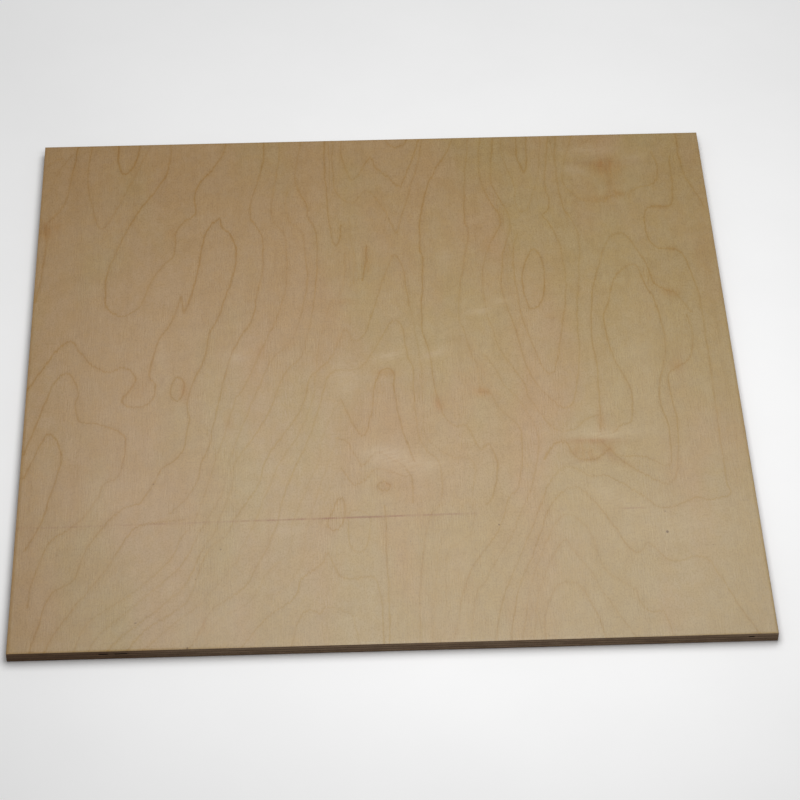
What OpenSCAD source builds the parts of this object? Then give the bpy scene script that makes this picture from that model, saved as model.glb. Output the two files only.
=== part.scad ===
// Square half sheet of birch-faced plywood, lying flat with its better face up.
// The origin is at the centre of the underside. X runs across the face grain,
// Y runs along it, and Z rises through the plies. The front edge faces -Y.
// The veneers are glued into one piece, so the sheet is one solid. Three gaps
// between strips of core veneer open out at the sawn front edge.

/* [Sheet] */
// Width of the sheet, across the face grain
sheet_w = 1220; // [610:5:1525]
// Length of the sheet, along the face grain
sheet_l = 1220; // [610:5:2440]
// Thickness of the sheet, through all its plies
sheet_t = 18; // [9:0.5:30]

/* [Plies] */
// Number of veneers in the build-up, all of one thickness
ply_count = 7; // [5:2:13]

/* [Core gaps in the front edge] */
// Ply that the gaps lie in, counted down from the top face
gap_ply = 3; // [2:1:4]
// Glue left on the plies above and below a gap
glue_film = 0.2; // [0.1:0.05:0.3]
// How far each gap runs in from the edge
gap_depth = 12; // [4:1:40]
// Left-hand corner of the sheet to the outer gap of the pair
outer_gap_inset = 145; // [40:1:200]
// Width of the outer gap
outer_gap_w = 15; // [5:1:30]
// Strip of core veneer standing between the outer gap and the inner gap
strip_w = 10; // [3:1:30]
// Width of the inner gap
inner_gap_w = 20; // [5:1:40]
// Right-hand corner of the sheet to the single gap near it
corner_gap_inset = 38; // [20:1:200]
// Width of the single gap
corner_gap_w = 9; // [4:1:30]

/* [Hidden] */
left_x = -sheet_w / 2;
right_x = sheet_w / 2;
front_y = -sheet_l / 2;
ply_t = sheet_t / ply_count;
gap_floor_z = sheet_t - gap_ply * ply_t + glue_film;
gap_h = ply_t - 2 * glue_film;
// How far a cutting block stands out of the face that it opens
overcut = 5;
birch = [0.80, 0.69, 0.53];

// One gap in the core: a straight-sided pocket, one ply high, from x to x + w
module core_gap(x, w) {
    translate([x, front_y - overcut, gap_floor_z])
        cube([w, gap_depth + overcut, gap_h]);
}

// The pressed and trimmed sheet, with square sawn edges
module plywood_sheet() {
    inner_gap_x = left_x + outer_gap_inset + outer_gap_w + strip_w;
    color(birch)
        difference() {
            translate([left_x, front_y, 0])
                cube([sheet_w, sheet_l, sheet_t]);
            core_gap(left_x + outer_gap_inset, outer_gap_w);
            core_gap(inner_gap_x, inner_gap_w);
            core_gap(right_x - corner_gap_inset - corner_gap_w, corner_gap_w);
        }
}

plywood_sheet();
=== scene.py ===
"""Looks of one sheet of seven-ply birch plywood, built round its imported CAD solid.

The sheet is one closed mesh: a face veneer with its growth-ring figure, a plain back veneer, and four sawn
edges that show the plies, the glue lines and three gaps in a core ply. Lengths in the classes are in metres
unless a name or a comment says millimetres, and every pattern reads Object coordinates or the sheet's own
attributes.
"""

import logging
import math
from dataclasses import dataclass, field
from enum import Enum, IntEnum
from functools import partial, reduce

import bpy
import numpy as np
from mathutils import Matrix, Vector


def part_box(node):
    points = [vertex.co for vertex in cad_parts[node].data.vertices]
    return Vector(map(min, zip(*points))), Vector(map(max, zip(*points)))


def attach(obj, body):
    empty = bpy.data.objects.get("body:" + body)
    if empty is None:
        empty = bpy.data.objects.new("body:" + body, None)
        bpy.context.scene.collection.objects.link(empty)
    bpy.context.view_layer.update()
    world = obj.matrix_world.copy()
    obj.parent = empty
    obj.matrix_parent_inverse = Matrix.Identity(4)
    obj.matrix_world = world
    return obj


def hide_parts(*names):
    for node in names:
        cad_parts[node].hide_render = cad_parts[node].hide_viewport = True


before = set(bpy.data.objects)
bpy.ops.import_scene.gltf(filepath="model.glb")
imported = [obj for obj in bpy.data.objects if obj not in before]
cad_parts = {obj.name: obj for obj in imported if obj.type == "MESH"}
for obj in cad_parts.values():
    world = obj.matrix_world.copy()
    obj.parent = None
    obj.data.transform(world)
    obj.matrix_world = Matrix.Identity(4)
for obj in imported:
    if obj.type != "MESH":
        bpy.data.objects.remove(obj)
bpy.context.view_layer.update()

MM = 0.001
NODE = "plywood_sheet"
LOG = logging.getLogger("plywood")

Triple = tuple[float, float, float]
Colour = Triple
Point = tuple[float, float]
Socket = bpy.types.NodeSocket


class Finish(IntEnum):
    """Which material slot of the sheet a face belongs to."""

    FACE = 0
    BACK = 1
    EDGE = 2


class Blend(Enum):
    """How one colour is laid over another."""

    OVER = "MIX"
    STAIN = "MULTIPLY"


# ---------------------------------------------------------------- the face veneer's figure


@dataclass(frozen=True)
class Ring:
    """One growth-ring line on the face veneer, a smooth curve through a few points.

    The points are in millimetres from the sheet's front left corner. A line whose last point is its first
    is a closed loop.
    """

    strength: float
    points: tuple[Point, ...]


@dataclass(frozen=True)
class Patch:
    """A soft oval stain on the face veneer, in millimetres from the front left corner.

    Attributes:
        x, y: Its middle.
        half_w, half_l: How far it spreads across and along, before it is turned.
        amount: How strong it is in the middle.
        turn: Degrees turned to the left.
    """

    x: float
    y: float
    half_w: float
    half_l: float
    amount: float = 1.0
    turn: float = 0.0


@dataclass(frozen=True)
class Grain:
    """One pattern of a material: soft noise, and a smooth step that makes a share of it.

    Attributes:
        bumps: Bumps a metre along x, y and z.
        start, end: The noise where the step starts and ends.
        low, high: The share before the step and after it.
        detail, rough: Finer layers laid over the noise, and how strong they are.
        shift: Where in the noise it is cut.
        turn: Degrees that the pattern is turned to the left.
        stain: What the colour under the pattern is multiplied by.
    """

    bumps: Triple
    start: float = 0.0
    end: float = 1.0
    low: float = 0.0
    high: float = 1.0
    detail: float = 2.0
    rough: float = 0.5
    shift: Triple = (0.0, 0.0, 0.0)
    turn: float = 0.0
    stain: Colour = (1.0, 1.0, 1.0)

    MIDDLE = 0.5  # of any noise


def ring(strength: float, *points: Point) -> Ring:
    """A growth-ring line through the given points."""
    return Ring(strength, points)


def put(name: str, data: bpy.types.ID) -> bpy.types.Object:
    """Puts a new object into the scene, at the origin.

    Args:
        name: Its name.
        data: Its mesh, light or camera.

    Returns:
        The object.
    """
    thing = bpy.data.objects.new(name, data)
    bpy.context.scene.collection.objects.link(thing)
    return thing


LEFT_LOOPS = (
    ring(0.9, (62, 1220), (48, 1085), (36, 1042), (12, 1000), (15, 955), (10, 850), (3, 800)),
    ring(0.4, (50, 1192), (32, 1158), (20, 1118), (12, 1095)),
    ring(0.5, (0, 1160), (18, 1178), (34, 1188)),
    ring(0.6, (0, 1022), (12, 1003), (6, 985), (0, 975)),
    ring(0.6, (88, 1220), (83, 1150), (88, 1085), (112, 990), (145, 1058), (198, 1220)),
    ring(1.3, (137, 1220), (138, 1175), (145, 1142), (158, 1144), (170, 1170), (178, 1220)),
    ring(1.0, (234, 1220), (233, 1165), (218, 1110), (170, 1012), (132, 890), (126, 830), (130, 785),
         (150, 763), (170, 764), (192, 790), (204, 838), (228, 890), (247, 918), (248, 972),
         (262, 1002), (283, 1025), (280, 1065), (290, 1110), (316, 1152), (332, 1190), (338, 1220)),
    ring(1.3, (0, 580), (45, 672), (70, 700), (88, 672), (110, 640), (138, 622), (165, 632), (187, 602),
         (165, 552), (182, 536), (204, 538), (218, 560), (220, 590), (210, 612), (222, 690), (245, 742),
         (261, 806)),
    ring(1.2, (262, 800), (268, 766), (288, 860), (300, 960), (324, 1010), (333, 985), (347, 966),
         (357, 925), (354, 868), (327, 752), (312, 712), (305, 655), (277, 560), (280, 500), (272, 440),
         (258, 410), (236, 390), (217, 342), (198, 312), (170, 299), (125, 232), (98, 150), (72, 130),
         (57, 100), (36, 0)),
    ring(1.1, (5, 435), (33, 548), (47, 598), (66, 622), (80, 605), (89, 572), (86, 540), (95, 505),
         (128, 497), (172, 464), (165, 380), (142, 360), (130, 325), (110, 288), (85, 258), (56, 230),
         (34, 150), (28, 95)),
    ring(1.2, (8, 380), (32, 455), (46, 478), (67, 425), (54, 340), (42, 280), (18, 215)),
    ring(1.6, (258, 606), (247, 585), (248, 560), (258, 548), (268, 565), (270, 590), (258, 606)),
)
BUNDLE = (
    ring(0.9, (408, 1220), (404, 1150), (382, 1040), (390, 992), (404, 960), (405, 870), (395, 805),
         (387, 745), (350, 655), (323, 500), (317, 450), (302, 402), (295, 360), (278, 322),
         (252, 290)),
    ring(0.9, (272, 275), (205, 265), (182, 238), (150, 170), (112, 108), (72, 35), (60, 0)),
    ring(0.6, (437, 1220), (436, 1170), (421, 1020), (446, 950), (443, 800), (402, 665), (372, 575),
         (357, 540), (335, 445), (295, 282), (272, 235), (250, 182), (190, 115), (128, 62), (105, 0)),
    ring(0.6, (450, 1075), (447, 1035), (455, 998), (477, 962), (482, 900), (483, 820), (460, 700),
         (422, 645), (397, 572), (352, 420), (338, 335), (300, 245), (285, 200), (262, 162), (205, 98),
         (145, 35), (130, 0)),
    ring(0.7, (477, 1220), (466, 1110), (486, 1040), (487, 1012), (500, 972), (503, 920), (497, 800),
         (475, 660), (442, 607), (420, 530), (400, 480), (357, 395), (352, 345), (326, 248), (308, 215),
         (290, 160), (270, 120), (210, 58), (180, 30), (160, 0)),
    ring(0.7, (522, 1220), (520, 1130), (528, 970), (537, 930), (546, 955), (548, 985)),
    ring(0.4, (552, 905), (551, 850), (543, 805), (527, 782), (516, 745), (500, 650), (490, 545),
         (465, 462), (430, 390), (388, 255), (370, 210), (357, 172), (302, 92), (262, 52), (215, 0)),
    ring(0.7, (503, 618), (485, 590), (466, 512), (414, 415), (396, 345), (360, 278), (346, 240),
         (322, 216), (306, 180), (282, 98), (220, 44), (190, 0)),
    ring(0.7, (503, 618), (524, 645), (548, 712), (562, 684), (580, 695), (592, 730), (616, 825),
         (628, 868), (642, 902), (655, 868), (663, 770)),
    ring(0.65, (285, 0), (298, 20), (324, 80), (372, 122), (390, 160), (424, 245), (442, 335),
         (481, 447), (503, 535), (522, 606), (572, 618), (603, 672), (618, 705), (634, 732), (648, 718),
         (656, 645), (664, 615), (663, 560), (666, 480), (675, 425), (698, 392), (703, 350), (696, 295),
         (676, 258), (658, 130), (652, 0)),
)
MIDDLE = (
    ring(0.3, (540, 538), (525, 515), (503, 445), (498, 400), (455, 270), (452, 225), (445, 195),
         (412, 155), (385, 100), (332, 56), (318, 30)),
    ring(1.1, (540, 538), (560, 478), (572, 455), (582, 470), (590, 515), (598, 580), (612, 612),
         (630, 606), (630, 560), (641, 465), (658, 392)),
    ring(0.25, (532, 450), (513, 390), (478, 255), (468, 180), (440, 122), (412, 104)),
    ring(0.8, (532, 450), (548, 440), (567, 390), (578, 392), (588, 410), (600, 417), (618, 400),
         (638, 385), (652, 355), (652, 300)),
    ring(0.15, (537, 378), (524, 366), (512, 330), (503, 290), (486, 185)),
    ring(0.7, (537, 378), (560, 342), (588, 373), (605, 377), (640, 360), (655, 362)),
    ring(0.9, (532, 314), (511, 262), (518, 243), (532, 252), (541, 285), (532, 314)),
    ring(1.2, (595, 338), (598, 345), (606, 348), (613, 344), (615, 336), (609, 329), (600, 330), (595, 338)),
    ring(0.6, (548, 282), (547, 208), (571, 200), (580, 270), (548, 282)),
    ring(0.8, (370, 0), (410, 60), (456, 102), (466, 138), (500, 172), (510, 194), (530, 143),
         (556, 138), (580, 142), (590, 118), (595, 70), (594, 0)),
    ring(0.6, (450, 0), (458, 45), (472, 72), (486, 73), (496, 66), (508, 80), (545, 62), (552, 35),
         (556, 0)),
    ring(0.8, (606, 290), (606, 180), (606, 100), (604, 0)),
    ring(0.15, (635, 355), (622, 280), (622, 150), (618, 0)),
    ring(0.15, (642, 330), (637, 220), (634, 70), (632, 0)),
    ring(0.3, (664, 770), (677, 640), (678, 520), (680, 450), (720, 402), (748, 398), (758, 375),
         (750, 310), (735, 290), (703, 235), (692, 200), (680, 100), (672, 0)),
    ring(0.9, (762, 1220), (748, 1180), (713, 1100), (694, 1010), (688, 925), (692, 890), (690, 840),
         (684, 720), (697, 630), (698, 590), (708, 518), (720, 482), (735, 472), (751, 470), (770, 416),
         (784, 430), (797, 378), (786, 312), (774, 292)),
    ring(0.3, (752, 300), (751, 255), (738, 222), (704, 186), (698, 100), (690, 0)),
    ring(0.5, (537, 1220), (535, 1150), (538, 1090), (545, 1065), (560, 1048), (572, 1044), (590, 1074),
         (604, 1070), (628, 1020), (648, 958), (654, 985), (672, 1060), (695, 1160), (703, 1220)),
    ring(0.7, (552, 1220), (553, 1170), (572, 1108), (604, 1168), (616, 1140), (645, 1103), (658, 1087),
         (678, 1145), (698, 1220)),
    ring(0.7, (635, 1220), (642, 1204), (655, 1197), (668, 1204), (676, 1220)),
    ring(1.3, (592, 925), (590, 890), (585, 850), (583, 838)),
    ring(0.4, (562, 1000), (566, 940), (570, 880), (566, 830)),
)
OVALS = (
    ring(0.7, (790, 1220), (778, 1100), (773, 990), (777, 950), (755, 815), (750, 735), (757, 705),
         (768, 640), (775, 615), (777, 570), (780, 552), (796, 546), (806, 512), (838, 468), (841, 425),
         (829, 332), (808, 298), (790, 235), (735, 135), (706, 0)),
    ring(0.65, (812, 1220), (806, 1150), (809, 1090), (818, 1050), (838, 985), (815, 925), (797, 845),
         (799, 745), (808, 705), (816, 655), (852, 575), (862, 530), (898, 460), (934, 460), (950, 480),
         (978, 490)),
    ring(0.65, (836, 1220), (827, 1110), (834, 1060), (855, 985), (835, 885), (830, 795), (846, 712),
         (866, 590), (905, 520), (922, 510), (937, 530), (953, 630), (958, 740), (970, 850), (975, 950),
         (953, 1030), (948, 1150), (955, 1220)),
    ring(0.65, (866, 950), (856, 910), (854, 850), (860, 740), (878, 650), (888, 608), (901, 592),
         (912, 612), (928, 700), (943, 800), (941, 915), (926, 975), (915, 995), (926, 1015),
         (930, 1040), (925, 1090), (940, 1220)),
    ring(1.0, (890, 907), (867, 840), (876, 755), (901, 782), (907, 868), (890, 907)),
    ring(0.35, (852, 1220), (850, 1170), (868, 1085), (867, 1045), (873, 1015), (881, 1010), (892, 1028),
         (914, 1110), (926, 1220)),
    ring(0.7, (880, 1220), (878, 1170), (888, 1118), (895, 1140), (898, 1220)),
    ring(0.5, (790, 640), (806, 608), (818, 568), (842, 530), (868, 450), (860, 370), (840, 298),
         (824, 262), (812, 225), (775, 155), (760, 122), (747, 100), (732, 0)),
    ring(0.15, (872, 384), (838, 262), (810, 190), (792, 155), (766, 80), (752, 0)),
    ring(1.4, (878, 395), (888, 416), (902, 428), (917, 426), (930, 392), (962, 388), (986, 412)),
)
RIGHT = (
    ring(0.85, (977, 450), (982, 610), (979, 670), (988, 785), (1000, 840), (1026, 922), (1045, 944),
         (1064, 936), (1090, 865), (1100, 815), (1118, 795), (1135, 785), (1160, 735)),
    ring(0.9, (1000, 452), (1012, 466), (1030, 475), (1034, 550), (1012, 630), (1003, 720), (1012, 755),
         (1034, 832), (1070, 861), (1087, 800), (1098, 762), (1106, 660), (1087, 565), (1083, 515),
         (1091, 455), (1089, 385), (1078, 368), (1045, 390), (1003, 394), (986, 412)),
    ring(0.9, (975, 428), (1012, 375), (1065, 332), (1085, 332), (1097, 365), (1107, 470), (1101, 560),
         (1108, 590), (1138, 614), (1150, 640), (1155, 690), (1150, 730)),
    ring(0.75, (1162, 1150), (1160, 1080), (1156, 1035), (1145, 1015), (1118, 1016), (1103, 1003),
         (1098, 965), (1103, 925), (1118, 905), (1140, 902), (1155, 893), (1165, 862), (1177, 780),
         (1178, 620), (1175, 400), (1175, 330), (1177, 300), (1140, 290), (1120, 295), (1080, 276),
         (1055, 277), (1040, 295), (980, 347), (950, 350), (912, 372), (880, 335), (855, 265),
         (790, 90), (772, 0)),
    ring(0.9, (1180, 1220), (1180, 1150), (1185, 1100), (1213, 1010)),
    ring(0.4, (1143, 702), (1136, 688), (1143, 674), (1150, 688), (1143, 702)),
    ring(0.15, (1198, 980), (1193, 900), (1201, 740), (1198, 640), (1204, 560), (1202, 470),
         (1206, 380)),
    ring(0.5, (985, 1220), (958, 1105), (982, 1045), (1028, 1032), (1042, 1048), (1058, 1040)),
    ring(0.6, (1130, 1165), (1137, 1130), (1131, 1090), (1118, 1075), (1098, 1070), (1082, 1058)),
    ring(0.2, (1012, 1205), (996, 1185), (984, 1130), (990, 1105), (1004, 1095)),
)
FRONT = (
    ring(0.9, (795, 0), (813, 100), (848, 195), (876, 280), (917, 326), (950, 295), (982, 230),
         (996, 195), (1010, 178), (1023, 184), (1033, 198), (1058, 163), (1080, 158), (1105, 167),
         (1124, 160), (1136, 138), (1162, 65), (1190, 0)),
    ring(0.6, (815, 0), (831, 100), (860, 190), (888, 252), (907, 265), (923, 252), (939, 225),
         (952, 158), (966, 130), (1000, 102), (1008, 72), (1022, 52), (1042, 50), (1054, 0)),
    ring(0.65, (832, 0), (847, 100), (878, 182), (897, 210), (910, 185), (938, 130), (950, 95),
         (994, 0)),
    ring(0.8, (850, 0), (854, 55), (878, 112), (911, 112), (933, 62), (946, 0)),
)

RINGS = LEFT_LOOPS + BUNDLE + MIDDLE + OVALS + RIGHT + FRONT

# Orange hearts of the knots.
ORANGE = (
    Patch(611, 342, 5, 5, 1.0),
    Patch(1042, 1130, 26, 18, 0.40),
    Patch(1034, 1138, 20, 10, 0.40),
    Patch(960, 430, 34, 4, 0.6, -2),
    Patch(781, 553, 14, 10, 0.35, -15),
    Patch(704, 524, 8, 17, 0.6, 14),
)

# Ochre stains, most of them beside a knot or in the crook of a ring.
OCHRE = (
    Patch(20, 990, 18, 30, 0.9, -20),
    Patch(592, 885, 8, 45, 0.9),
    Patch(706, 530, 10, 18, 0.8),
    Patch(781, 553, 16, 11, 1.0, -15),
    Patch(786, 604, 8, 22, 0.6),
    Patch(1118, 605, 14, 16, 0.8),
    Patch(1128, 788, 16, 12, 0.7),
    Patch(400, 665, 8, 14, 0.5),
    Patch(242, 975, 9, 14, 0.6),
    Patch(345, 490, 8, 16, 0.4),
    Patch(515, 243, 8, 14, 0.5),
    Patch(552, 784, 16, 8, 0.7),
    Patch(618, 603, 16, 10, 0.9),
    Patch(955, 388, 18, 7, 0.9),
    Patch(938, 408, 12, 12, 0.7),
    Patch(985, 410, 16, 10, 0.9),
    Patch(978, 470, 8, 34, 0.8),
    Patch(960, 428, 50, 9, 0.9, -2),
    Patch(1130, 1013, 16, 7, 0.8),
    Patch(1142, 900, 12, 7, 0.7),
    Patch(1022, 1040, 22, 8, 0.8),
    Patch(1060, 1052, 20, 7, 0.9, -14),
    Patch(311, 48, 3.5, 14, 1.0),
    Patch(604, 336, 9, 8, 0.7),
    Patch(1042, 1126, 30, 22, 0.7),
    Patch(944, 404, 34, 15, 0.7),
    Patch(1046, 1080, 8, 26, 0.7),
    Patch(1196, 600, 18, 560, 0.12),
    Patch(271, 571, 9, 24, 0.85),
    Patch(196, 578, 16, 26, 0.3),
    Patch(1006, 378, 30, 8, 0.6, -28),
    Patch(560, 500, 50, 40, 0.2),
    Patch(760, 150, 120, 160, 0.15),
    # Painted shade: this broad patch darkens and warms the far left corner, where less light falls.
    Patch(150, 1150, 200, 90, 0.25),
)

# Painted highlights: pale wrinkles that catch the light, mostly short and across the grain, and a few broad
# patches of painted light.
PAINTED_HIGHLIGHTS = (
    Patch(1013, 1177, 60, 14, 0.6),
    Patch(986, 1121, 24, 14, 0.6, -20),
    Patch(1100, 1150, 34, 14, 0.5, 24),
    Patch(985, 446, 66, 15, 0.6, 2),
    Patch(978, 441, 26, 7, 0.4, 2),
    Patch(362, 650, 18, 14, 0.9, 16),
    Patch(636, 396, 50, 26, 0.9, -16),
    Patch(606, 418, 30, 18, 0.6),
    Patch(694, 384, 26, 14, 0.5),
    Patch(705, 648, 26, 9, 0.8, 22),
    Patch(791, 752, 24, 9, 0.8, 12),
    Patch(820, 775, 24, 8, 0.6, 10),
    Patch(626, 645, 26, 10, 0.8, 18),
    Patch(733, 898, 14, 26, 0.4),
    Patch(440, 245, 24, 10, 0.5),
    Patch(232, 640, 10, 60, 0.4, 8),
    Patch(545, 590, 26, 40, 0.5),
    Patch(150, 330, 60, 70, 0.3),
    Patch(985, 300, 70, 26, 0.45, -30),
    Patch(1060, 560, 26, 170, 0.3),
    Patch(880, 700, 20, 190, 0.2),
    Patch(330, 60, 60, 26, 0.3, 40),
    Patch(1040, 230, 110, 40, 0.35),
)

# Small dark marks: the bars and rims of the knots.
DARK = (
    Patch(960, 430, 46, 5.5, 0.5, -2),
    Patch(1046, 1148, 7, 5, 0.5),
    Patch(1005, 1140, 24, 7, 0.35),
    Patch(1095, 1142, 28, 8, 0.25),
    Patch(1040, 1134, 16, 8, 0.35),
    Patch(980, 402, 12, 4, 0.6, -35),
    Patch(1002, 386, 22, 4, 0.6, -33),
    Patch(920, 380, 26, 4, 0.4, 12),
    Patch(8, 1000, 6, 12, 0.5),
    Patch(232, 596, 4, 22, 0.6, 12),
    Patch(368, 650, 6, 10, 0.3),
    Patch(916, 728, 7, 8, 0.35),
)

# Pinholes and specks.
SPECKS = (
    Patch(223, 356, 1.3, 1.6, 0.8),
    Patch(336, 208, 1.2, 1.7, 0.8),
    Patch(296, 145, 1.1, 1.4, 0.6),
    Patch(202, 57, 2.2, 1.1, 0.9),
    Patch(791, 246, 1.3, 1.9, 0.9),
    Patch(1065, 221, 2.3, 3.0, 1.0),
    Patch(1066, 266, 1.3, 1.6, 0.8),
    Patch(1137, 190, 1.3, 1.5, 0.5),
    Patch(645, 215, 1.2, 1.5, 0.5),
    Patch(285, 2.6, 1.7, 2.6, 0.75),
)


class Figure:
    """Works the ring lines and stains out as values at the points of the face's grid.

    Lines that run close together go on different layers, so that on each layer the nearest line stays the
    same from one grid point to the next.
    """

    LAYERS = 3
    STEP_MM = 4.0  # between the samples along a line
    CROWDED_MM = 12.0  # lines nearer than this go on different layers
    CHUNK = 4000  # grid points compared with all samples at once

    def __init__(self, rings: tuple[Ring, ...]) -> None:
        """Samples every line and shares the lines out over the layers.

        Args:
            rings: The growth-ring lines.
        """
        self.rings = rings
        self.spans = [self.trace(line) for line in rings]
        self.layers = self.share_out()

    def share_out(self) -> list[list[int]]:
        """Puts each line on the layer where the fewest of its samples crowd another line.

        Returns:
            The lines' numbers, layer by layer.
        """
        layers: list[list[int]] = [[] for _ in range(self.LAYERS)]
        for number, (place, _) in enumerate(self.spans):
            crowds = []
            for layer in layers:
                others = np.vstack([self.spans[other][0] for other in layer] or [np.full((1, 2), 1e6)])
                gaps = np.hypot(*(place[:, None, :] - others[None, :, :]).transpose(2, 0, 1)).min(axis=1)
                crowds.append(int((gaps < self.CROWDED_MM).sum()))
            layers[int(np.argmin(crowds))].append(number)
        return layers

    def trace(self, line: Ring) -> tuple[np.ndarray, np.ndarray]:
        """Samples one line: between two points it is the Catmull-Rom cubic through them and their neighbours.

        Args:
            line: The line.

        Returns:
            The samples' places in millimetres and the unit normals to the line there.
        """
        knots = np.array(line.points, float)
        closed = np.allclose(knots[0], knots[-1])
        before = knots[-2] if closed else 2 * knots[0] - knots[1]
        after = knots[1] if closed else 2 * knots[-1] - knots[-2]
        run = np.vstack([before, knots, after])
        gaps = np.hypot(*np.diff(knots, axis=0).T)
        counts = np.maximum(2, (gaps / self.STEP_MM).astype(int))
        span = np.repeat(np.arange(len(counts)), counts)
        start = np.repeat(np.cumsum(counts) - counts, counts)
        t = ((np.arange(len(span)) - start) / counts[span])[:, None]
        a, b, c, d = (run[span + k] for k in range(4))
        straight, bent, twisted = c - a, 2 * a - 5 * b + 4 * c - d, 3 * b - a - 3 * c + d
        place = 0.5 * (2 * b + straight * t + bent * t**2 + twisted * t**3)
        slope = 0.5 * (straight + 2 * bent * t + 3 * twisted * t**2)
        slope /= np.maximum(np.hypot(slope[:, 0], slope[:, 1])[:, None], 1e-6)
        return place, np.column_stack([-slope[:, 1], slope[:, 0]])

    def measure(self, layer: int, grid: np.ndarray) -> tuple[np.ndarray, np.ndarray]:
        """Finds the nearest ring line of one layer from every grid point.

        The signed offset is the step from the nearest sample, projected on the line's normal, so that it
        crosses zero on the line itself. The plain distance goes beside it, to end the line past its ends.

        Args:
            layer: The layer.
            grid: Places in millimetres, one row each.

        Returns:
            (offset, normal x, normal y) and (distance, strength, 0) for every place, lengths in millimetres.
        """
        lines = self.layers[layer]
        places = np.vstack([self.spans[n][0] for n in lines]).astype(np.float32)
        normals = np.vstack([self.spans[n][1] for n in lines]).astype(np.float32)
        strengths = np.concatenate([np.full(len(self.spans[n][0]), self.rings[n].strength) for n in lines])
        offset = np.zeros((len(grid), 3), np.float32)
        look = np.zeros((len(grid), 3), np.float32)
        grid = grid.astype(np.float32)
        for start in range(0, len(grid), self.CHUNK):
            part = slice(start, start + self.CHUNK)
            dx = grid[part, 0, None] - places[None, :, 0]
            dy = grid[part, 1, None] - places[None, :, 1]
            nearest = np.argmin(dx * dx + dy * dy, axis=1)
            step = grid[part] - places[nearest]
            normal = normals[nearest]
            offset[part, 0] = np.sum(step * normal, axis=1)
            offset[part, 1:] = normal
            look[part, 0] = np.hypot(step[:, 0], step[:, 1])
            look[part, 1] = strengths[nearest]
        return offset, look

    @staticmethod
    def stain(grid: np.ndarray, patches: tuple[Patch, ...]) -> np.ndarray:
        """Adds up soft ovals: each is its amount times the bell exp(-(u^2 + v^2)) in its own turned axes.

        Args:
            grid: Places in millimetres, one row each.
            patches: The ovals.

        Returns:
            One value for every place.
        """
        total = np.zeros(len(grid))
        for patch in patches:
            turn = math.radians(patch.turn)
            dx, dy = grid[:, 0] - patch.x, grid[:, 1] - patch.y
            u = (dx * math.cos(turn) + dy * math.sin(turn)) / patch.half_w
            v = (dy * math.cos(turn) - dx * math.sin(turn)) / patch.half_l
            total += patch.amount * np.exp(-(u * u + v * v))
        return np.minimum(total, 1.0)


# ---------------------------------------------------------------- the sheet's mesh


@dataclass(frozen=True)
class CoreGap:
    """A gap between two strips of a core ply, open at the front edge. Places are from the left corner."""

    start: float
    width: float


@dataclass
class FaceBlock:
    """Faces that share a finish, as whole arrays.

    Attributes:
        corners: The vertex numbers, one row a face.
        spread: The flat map of each corner, in the unit square.
        finish: Their material slot.
        smooth: Whether they shade smoothly.
    """

    corners: np.ndarray
    spread: np.ndarray
    finish: Finish
    smooth: bool = False


@dataclass(frozen=True)
class MapArea:
    """A rectangle of the flat map, by its left, bottom, width and height."""

    left: float
    bottom: float
    width: float
    height: float

    def place(self, across: np.ndarray, up: np.ndarray) -> np.ndarray:
        """Puts shares of 0 to 1 across and up into the area, as one array of pairs."""
        return np.stack([self.left + across * self.width, self.bottom + up * self.height], axis=-1)


@dataclass
class EdgeSection:
    """The section of the sheet's edge, from the face down to the back.

    It is a quarter round at each arris, a flat for each ply with a point in its middle, and a shallow V at
    each glue line.
    """

    thickness: float
    plies: int = 7
    ease: float = 0.4 * MM
    glue_half: float = 0.2 * MM
    glue_depth: float = 0.16 * MM

    @property
    def ply(self) -> float:
        """Thickness of one ply."""
        return self.thickness / self.plies

    def rows(self) -> np.ndarray:
        """Works out the section.

        Returns:
            Rows of (inset from the sawn edge, height), top to bottom.
        """
        bend = np.radians([90.0, 45.0, 0.0])
        top = np.column_stack(
            [self.ease * (1 - np.cos(bend)), self.thickness - self.ease * (1 - np.sin(bend))]
        )
        levels = np.arange(self.plies - 1, 0, -1)[:, None] * self.ply
        heights = levels + np.array([self.ply / 2, self.glue_half, 0.0, -self.glue_half])
        insets = np.broadcast_to(np.array([0.0, 0.0, self.glue_depth, 0.0]), heights.shape)
        middle = np.column_stack([insets.ravel(), heights.ravel()])
        bottom = np.column_stack([top[::-1, 0], self.thickness - top[::-1, 1]])
        last = np.array([[0.0, self.ply / 2]])
        return np.vstack([top, middle, last, bottom])

    def is_flat(self) -> np.ndarray:
        """Finds the rows that lie on a ply's sawn face, so that the saw may leave them uneven.

        Returns:
            A truth value for each row.
        """
        rows = self.rows()
        inside = (rows[:, 1] > 2 * self.ease) & (rows[:, 1] < self.thickness - 2 * self.ease)
        return (rows[:, 0] == 0) & inside


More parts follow.
